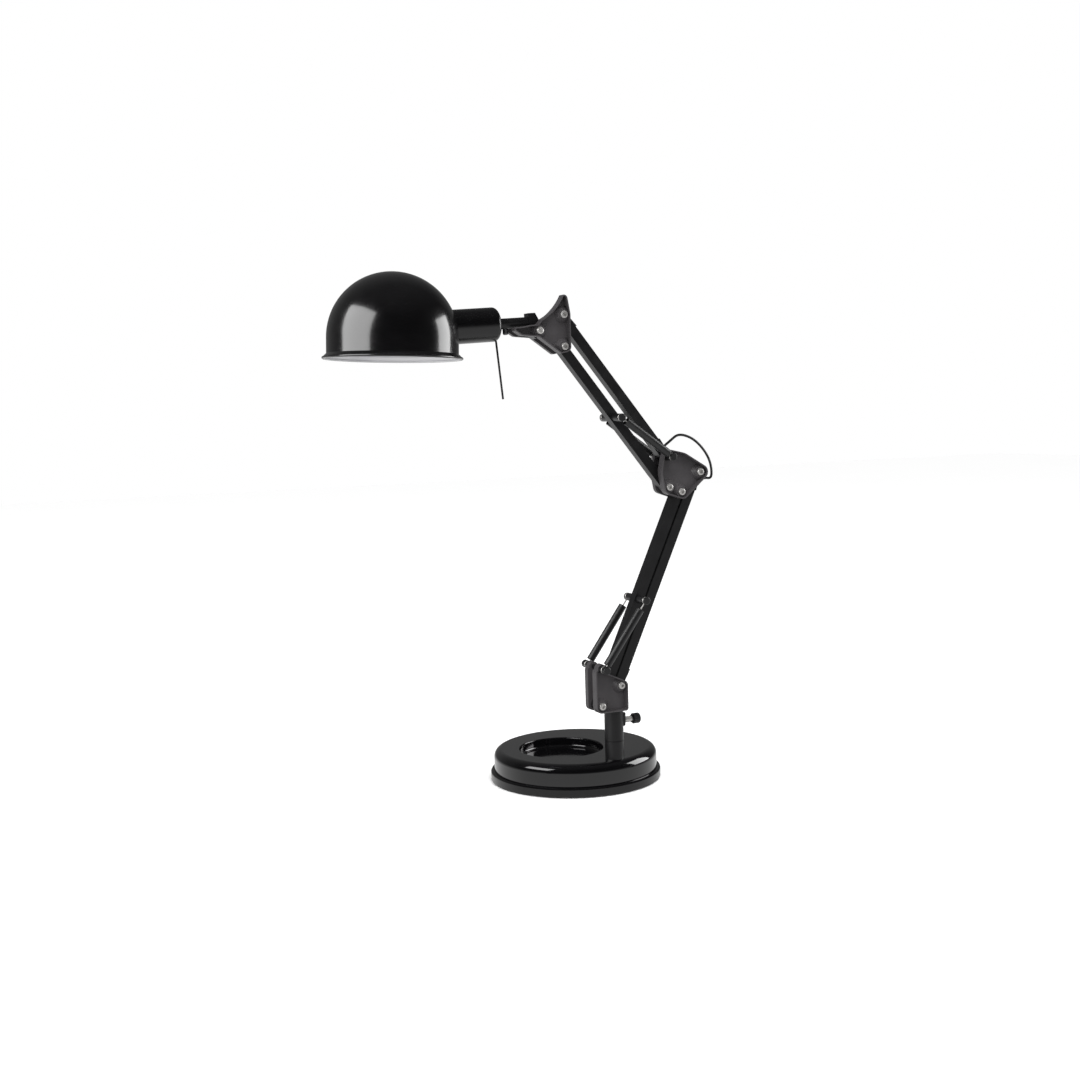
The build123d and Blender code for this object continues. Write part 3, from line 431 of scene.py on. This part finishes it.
def dress_plastic():
    """The plastic, rubber and felt pieces."""
    dress(moulded("gloss_plastic", BLACK, **GLOSS_PLASTIC), "base_tray", "socket_cover")
    dress(
        moulded("satin_plastic", SOFT_BLACK, **SATIN_PLASTIC),
        "anchor_pins", "lower_spring_pin", "elbow_spring_pin", "upper_spring_pin",
        "lower_spring_sleeves", "upper_spring_sleeves", "thumb_knob", "lampholder", "shade_ring",
        "lower_cord_bushes", "upper_cord_bushes", "foot_washers", "elbow_washers", "head_washers",
    )
    dress(moulded("rubber", RUBBER_BLACK, **RUBBER), "cord_grommet", "cord_loop_upper", "cord_loop_lower")
    dress(felt("felt", FELT), "base_pad")


def dress_metal():
    """The bare metal pieces."""
    dress(
        metal("bright_zinc", ZINC, **BRIGHT_ZINC),
        "foot_bolts", "elbow_bolts", "head_bolts", "foot_nuts", "elbow_nuts", "head_nuts",
        "lower_foot_hooks", "lower_top_hooks", "upper_foot_hooks", "upper_top_hooks",
        "neck_collar", "neck_nut", "thumb_screw", "base_screws", "foot_nut",
    )
    dress(
        metal("dark_steel", STEEL, **DARK_STEEL),
        "post_core", "clamp_spacer", "lower_spring_coils", "upper_spring_coils", "neck_lock_screw",
    )
    dress(metal("socket_brass", BRASS, **SOCKET_BRASS), "socket_contacts")
    dress(cast("cast_iron", IRON), "base_weight")


def camera():
    """The camera at the photograph's place and angle."""
    yaw, drop, roll = (math.radians(a) for a in (CAMERA_YAW, CAMERA_DROP, CAMERA_ROLL))
    ahead = Vector((math.sin(yaw) * math.cos(drop), math.cos(yaw) * math.cos(drop), -math.sin(drop)))
    level = Vector((math.cos(yaw), -math.sin(yaw), 0))
    above = level.cross(ahead)
    right = level * math.cos(roll) + above * math.sin(roll)
    up = above * math.cos(roll) - level * math.sin(roll)
    data = bpy.data.cameras.new("camera")
    data.sensor_width = SENSOR
    data.lens = CAMERA_LENS
    data.shift_x, data.shift_y = CAMERA_SHIFT
    data.clip_end = CAMERA_REACH
    obj = bpy.data.objects.new("camera", data)
    bpy.context.scene.collection.objects.link(obj)
    turn = Matrix((right, up, -ahead)).transposed().to_4x4()
    obj.matrix_world = Matrix.Translation(CAMERA_PLACE) @ turn
    bpy.context.scene.camera = obj


def floor():
    """The plain pale floor."""
    mesh = bpy.data.meshes.new("floor")
    half = FLOOR_SIZE / 2
    corners = [(-half, -half, 0), (half, -half, 0), (half, half, 0), (-half, half, 0)]
    mesh.from_pydata(corners, [], [(0, 1, 2, 3)])
    obj = bpy.data.objects.new("floor", mesh)
    bpy.context.scene.collection.objects.link(obj)
    look = Look("floor", FLOOR, FLOOR_ROUGHNESS)
    look.tint(look.noise(*FLOOR_NOISE), FLOOR_SHADES)
    look.give("Specular IOR Level", 0.0)
    obj.data.materials.append(look.material)
    obj.visible_glossy = False
    obj.visible_diffuse = False


def reflected_level(tree, direction):
    """The brightness of the studio in reflections: pale below, dark ahead, grey above and behind."""
    ramp = tree.nodes.new("ShaderNodeValToRGB")
    give(tree, ramp.inputs["Fac"], ranged(tree, direction["Z"], (-1.0, 1.0)))
    stops = ramp.color_ramp.elements
    for index, (height, level) in enumerate(REFLECTED):
        stop = stops[index] if index < len(stops) else stops.new(height)
        stop.position = height
        stop.color = (level, level, level, 1)
    behind = ranged(tree, direction["Y"], BEHIND_SPAN, 0.0, BEHIND)
    return maths(tree, "ADD", ramp.outputs["Color"], behind)


def world():
    """A studio that is white to the camera, and has other levels in reflections and as a light."""
    data = bpy.data.worlds.new("studio")
    bpy.context.scene.world = data
    data.use_nodes = True
    tree = data.node_tree
    split = tree.nodes.new("ShaderNodeSeparateXYZ")
    give(tree, split.inputs["Vector"], tree.nodes.new("ShaderNodeTexCoord").outputs["Generated"])
    ray = tree.nodes.new("ShaderNodeLightPath").outputs
    light = ranged(tree, split.outputs["Z"], (-HORIZON, HORIZON), GROUND_LIGHT, WORLD_LIGHT)
    unseen = mixed(tree, "FLOAT", ray["Is Glossy Ray"], light, reflected_level(tree, split.outputs))
    seen = mixed(tree, "FLOAT", ray["Is Camera Ray"], unseen, 1.0)
    background = tree.nodes["Background"]
    give(tree, background.inputs["Color"], (1, 1, 1, 1))
    give(tree, background.inputs["Strength"], seen)


def link_light(light, state, names):
    """Makes a light reach only some CAD nodes, or all but them."""
    group = bpy.data.collections.new(light.name + "_nodes")
    for name in names:
        group.objects.link(nodes[name])
    light.light_linking.receiver_collection = group
    for member in group.collection_objects:
        member.light_linking.link_state = state


def softbox(name, place, target, size, watts, missed_by, reaches=(), leaves_out=()):
    """A rectangular studio light that looks at a target."""
    data = bpy.data.lights.new(name, "AREA")
    data.shape = "RECTANGLE"
    data.size, data.size_y = size
    data.energy = watts
    obj = bpy.data.objects.new(name, data)
    bpy.context.scene.collection.objects.link(obj)
    ahead = Vector(target) - Vector(place)
    obj.rotation_euler = ahead.to_track_quat("-Z", "Y").to_euler()
    obj.location = place
    obj.visible_diffuse = missed_by != "diffuse"
    obj.visible_glossy = missed_by != "glossy"
    if reaches:
        link_light(obj, "INCLUDE", reaches)
    if leaves_out:
        link_light(obj, "EXCLUDE", leaves_out)


dress_enamel()
dress_shade()
dress_plastic()
dress_metal()
smooth_all()
cord_loop()
camera()
floor()
world()
for name, facts in LIGHTS.items():
    softbox(name, **facts)
bpy.context.scene.view_settings.view_transform = "Standard"
